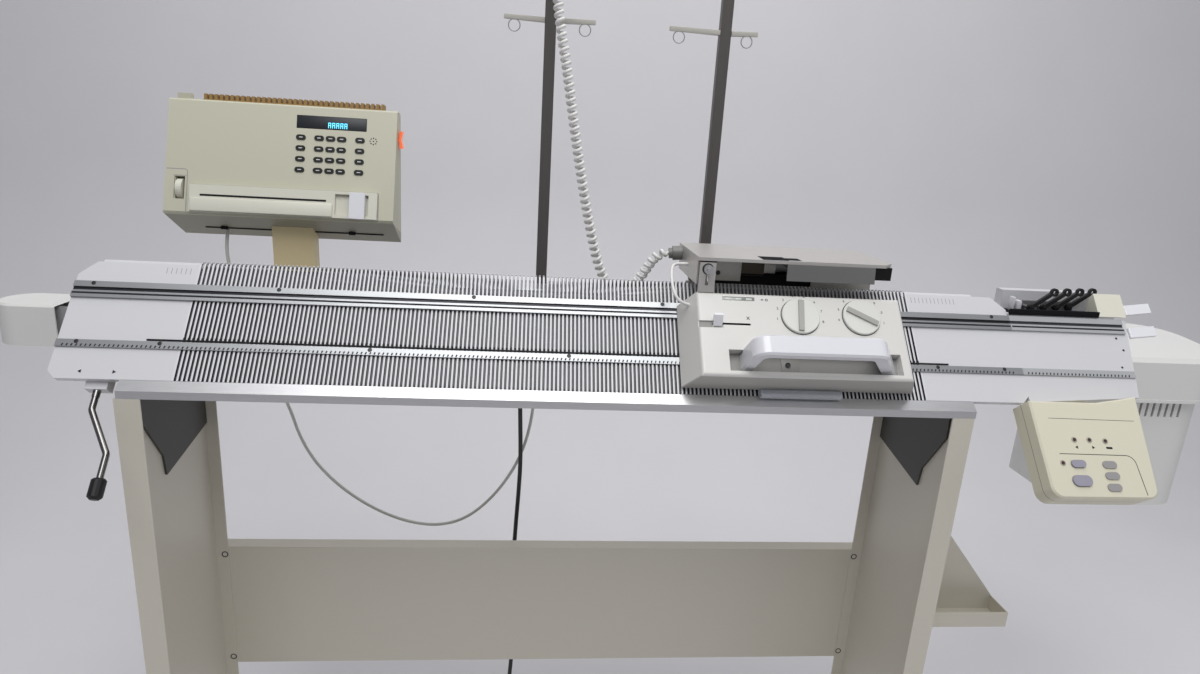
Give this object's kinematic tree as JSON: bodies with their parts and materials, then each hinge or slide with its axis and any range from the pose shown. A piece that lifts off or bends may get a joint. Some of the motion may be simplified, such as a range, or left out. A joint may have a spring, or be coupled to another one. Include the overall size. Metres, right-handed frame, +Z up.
{
  "type": "domestic knitting machine",
  "caption": "Double-bed domestic knitting machine on a sheet-metal stand, with a belt-driven lock carriage, colour changer, racking crank, control console and yarn masts.",
  "frame": {"origin": "centre of the object's footprint box, on the floor under the feet", "axes": "+X along the needle beds to the knitter's right, -Y towards the knitter, +Z up"},
  "size_m": [1.832, 0.4301, 1.308],
  "materials": {
    "stand_paint": "satin cream powder coat",
    "dark_rubber": "matt moulded",
    "bracket_paint": "matt grey paint",
    "rail_metal": "brushed",
    "track_metal": "satin",
    "bed_comb": "satin white ribs",
    "slide_steel": "ground",
    "plate_white": "satin white paint",
    "chrome_rod": "polished",
    "black_plastic": "satin",
    "lock_plastic": "semi-gloss cream white",
    "dial_grey": "satin",
    "handle_white": "semi-gloss",
    "clear_plastic": "clear",
    "bridge_steel": "brushed",
    "feeder_steel": "satin",
    "belt_rubber": "matt",
    "pulley_metal": "turned",
    "cover_cream": "satin cream",
    "motor_plastic": "satin white",
    "mechanism": "satin grey",
    "arm_black": "satin black",
    "box_cream": "fine grain cream",
    "key_grey": "satin blue grey",
    "console_cream": "fine grain cream",
    "grille_tan": "satin tan",
    "switch_red": "clear red-orange",
    "post_beige": "satin beige",
    "mast_grey": "satin grey",
    "cord_white": "smooth white",
    "connector_grey": "satin grey",
    "cord_black": "satin black"
  },
  "bodies": {
    "stand": {"feet": "dark_rubber", "leg_left": "stand_paint", "leg_right": "stand_paint", "back_panel": "stand_paint", "side_tray": "stand_paint", "bed_frame": "bracket_paint", "front_rail": "rail_metal", "back_rail": "rail_metal", "belt_track": "track_metal", "front_bed": "bed_comb", "front_rails": "slide_steel", "front_plates": "plate_white", "belt": "belt_rubber", "pulley_housing": "motor_plastic", "motor_housing": "motor_plastic", "motor_body": "motor_plastic", "changer_plate": "plate_white", "changer_frame": "mechanism", "changer_cover": "cover_cream", "control_box": "box_cream", "console_body": "console_cream", "console_grille": "grille_tan", "console_post": "post_beige", "masts": "mast_grey", "link_cable": "cord_white", "mains_lead": "cord_black", "mains_coil": "cord_black", "mains_plug": "cord_black"},
    "back_bed_group": {"back_bed": "bed_comb", "back_rails": "slide_steel", "back_plates": "plate_white"},
    "lock": {"lock_cover": "lock_plastic", "lock_handle": "handle_white", "back_lock": "lock_plastic", "bridge": "bridge_steel", "yarn_feeder": "feeder_steel", "drive_arm": "bridge_steel", "cord_connector": "connector_grey", "lock_cord": "cord_white", "loop_cable": "cord_white"},
    "crank_body": {"crank": "chrome_rod"},
    "crank_knob_body": {"crank_knob": "black_plastic"},
    "dial_left_body": {"dial_left": "dial_grey"},
    "dial_right_body": {"dial_right": "dial_grey"},
    "lock_lever_body": {"lock_lever": "handle_white"},
    "release_tab_body": {"release_tab": "clear_plastic"},
    "bridge_nut_body": {"bridge_nut": "bridge_steel"},
    "pulley_left_body": {"pulley_left": "pulley_metal"},
    "pulley_right_body": {"pulley_right": "pulley_metal"},
    "changer_arm_1_body": {"changer_arm_1": "arm_black"},
    "changer_arm_2_body": {"changer_arm_2": "arm_black"},
    "changer_arm_3_body": {"changer_arm_3": "arm_black"},
    "changer_arm_4_body": {"changer_arm_4": "arm_black"},
    "changer_tab_upper_body": {"changer_tab_upper": "handle_white"},
    "changer_tab_lower_body": {"changer_tab_lower": "handle_white"},
    "button_large_body": {"button_large": "key_grey"},
    "button_small_body": {"button_small": "key_grey"},
    "card_slider_body": {"card_slider": "handle_white"},
    "feed_wheel_body": {"feed_wheel": "handle_white"},
    "power_switch_body": {"power_switch": "switch_red"}
  },
  "joints": [
    {"name": "lock_slide", "type": "slide", "parent": "stand", "child": "lock", "axis": [1, 0, 0], "range_m": [-0.711, 0.3]},
    {"name": "pulley_left_turn", "type": "hinge", "parent": "stand", "child": "pulley_left_body", "pos_m": [-0.871, 0.1391, 0.78], "axis": [0, 0, 1], "range_deg": [-2400, 1015]},
    {"name": "pulley_right_turn", "type": "hinge", "parent": "stand", "child": "pulley_right_body", "pos_m": [0.779, 0.1391, 0.78], "axis": [0, 0, 1], "range_deg": [-2400, 1015]},
    {"name": "crank_turn", "type": "hinge", "parent": "stand", "child": "crank_body", "pos_m": [-0.657, -0.10594, 0.77602], "axis": [0, -0.6428, -0.766], "range_deg": [-1081, 1081]},
    {"name": "rack_slide", "type": "slide", "parent": "stand", "child": "back_bed_group", "axis": [1, 0, 0], "range_m": [-0.015, 0.015]},
    {"name": "crank_knob_spin", "type": "hinge", "parent": "crank_body", "child": "crank_knob_body", "pos_m": [-0.629, -0.18629, 0.68027], "axis": [0, -0.6428, -0.766], "continuous": true},
    {"name": "dial_left_turn", "type": "hinge", "parent": "lock", "child": "dial_left_body", "pos_m": [0.153, -0.09734, 0.8765], "axis": [0, -0.766, 0.6428], "range_deg": [-135, 135]},
    {"name": "dial_right_turn", "type": "hinge", "parent": "lock", "child": "dial_right_body", "pos_m": [0.2305, -0.09637, 0.87765], "axis": [0, -0.766, 0.6428], "range_deg": [-135, 135]},
    {"name": "lock_lever_slide", "type": "slide", "parent": "lock", "child": "lock_lever_body", "axis": [1, 0, 0], "range_m": [0, 0.022]},
    {"name": "release_tab_lift", "type": "hinge", "parent": "lock", "child": "release_tab_body", "pos_m": [0.169, -0.12085, 0.78749], "axis": [-1, 0, 0], "range_deg": [0, 15], "stiffness_Nm_per_rad": 0.05, "springref_deg": -10},
    {"name": "bridge_nut_turn", "type": "hinge", "parent": "lock", "child": "bridge_nut_body", "pos_m": [0.038, -0.0782, 0.927], "axis": [0, -1, 0], "continuous": true},
    {"name": "changer_tab_upper_turn", "type": "hinge", "parent": "stand", "child": "changer_tab_upper_body", "pos_m": [0.6318, -0.03361, 0.88634], "axis": [0, 0.6428, 0.766], "range_deg": [0, 30]},
    {"name": "changer_tab_lower_turn", "type": "hinge", "parent": "stand", "child": "changer_tab_lower_body", "pos_m": [0.62996, -0.05328, 0.85977], "axis": [0, 0.6428, 0.766], "range_deg": [0, 30]},
    {"name": "button_large_press", "type": "slide", "parent": "stand", "child": "button_large_body", "axis": [0, 0.766, -0.6428], "range_m": [0, 0.0015], "stiffness_N_per_m": 400, "springref_m": -0.001},
    {"name": "button_small_press", "type": "slide", "parent": "stand", "child": "button_small_body", "axis": [0, 0.766, -0.6428], "range_m": [0, 0.0015], "stiffness_N_per_m": 400, "springref_m": -0.001},
    {"name": "card_slider_slide", "type": "slide", "parent": "stand", "child": "card_slider_body", "axis": [1, 0, 0], "range_m": [-0.02, 0.003]},
    {"name": "feed_wheel_turn", "type": "hinge", "parent": "stand", "child": "feed_wheel_body", "pos_m": [-0.665, 0.15261, 0.96958], "axis": [1, 0, 0], "continuous": true},
    {"name": "power_switch_rock", "type": "hinge", "parent": "stand", "child": "power_switch_body", "pos_m": [-0.3712, 0.1891, 1.052], "axis": [0, 1, 0], "range_deg": [-8, 8]},
    {"name": "changer_arm_1_dip", "type": "hinge", "parent": "stand", "child": "changer_arm_1_body", "pos_m": [0.501, -0.0239, 0.884], "axis": [0, 1, 0], "range_deg": [0, 25]},
    {"name": "changer_arm_2_dip", "type": "hinge", "parent": "stand", "child": "changer_arm_2_body", "pos_m": [0.523, -0.0193, 0.884], "axis": [0, 1, 0], "range_deg": [0, 25]},
    {"name": "changer_arm_3_dip", "type": "hinge", "parent": "stand", "child": "changer_arm_3_body", "pos_m": [0.545, -0.0147, 0.884], "axis": [0, 1, 0], "range_deg": [0, 25]},
    {"name": "changer_arm_4_dip", "type": "hinge", "parent": "stand", "child": "changer_arm_4_body", "pos_m": [0.567, -0.0101, 0.884], "axis": [0, 1, 0], "range_deg": [0, 25]}
  ],
  "couplings": [
    {"joint": "pulley_left_turn", "follows": "lock_slide", "rad_per_m": 58.824},
    {"joint": "pulley_right_turn", "follows": "lock_slide", "rad_per_m": 58.824},
    {"joint": "crank_turn", "follows": "rack_slide", "rad_per_m": 1256.6}
  ]
}
